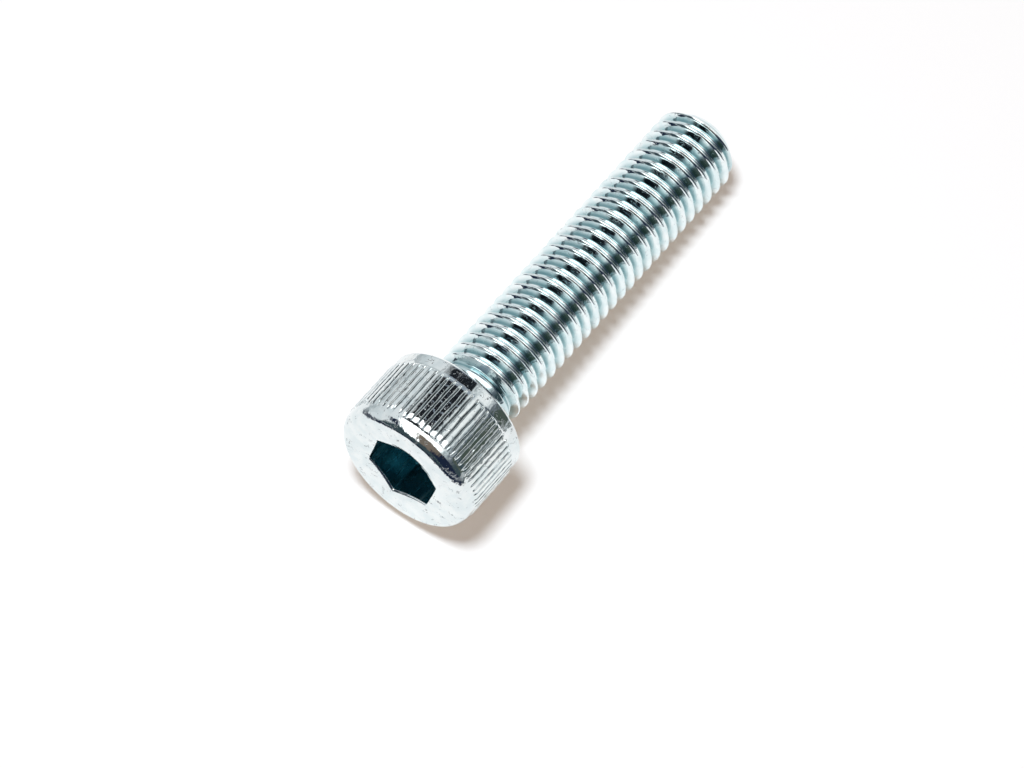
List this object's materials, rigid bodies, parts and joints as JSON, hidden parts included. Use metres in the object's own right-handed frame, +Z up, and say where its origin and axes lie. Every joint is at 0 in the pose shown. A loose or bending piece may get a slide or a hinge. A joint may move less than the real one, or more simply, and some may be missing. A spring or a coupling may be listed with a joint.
{
  "type": "socket head cap screw",
  "caption": "Cap screw with a straight-knurled cylindrical head, a hexagon socket and a right-hand metric thread that runs up to the head.",
  "frame": {"origin": "on the resting plane, under the middle of the bounding box", "axes": "+X from the head to the tip, +Z up; the screw's own axis dips 4.34 degrees below +X because it lies on its head's knurl and its last thread crest"},
  "size_m": [0.0436, 0.0132, 0.0135],
  "materials": {
    "zinc_plated_steel": "bright zinc plating, pale blue-green, with fine scuffs"
  },
  "bodies": {
    "root": {"cap_screw": "zinc_plated_steel"}
  },
  "joints": []
}
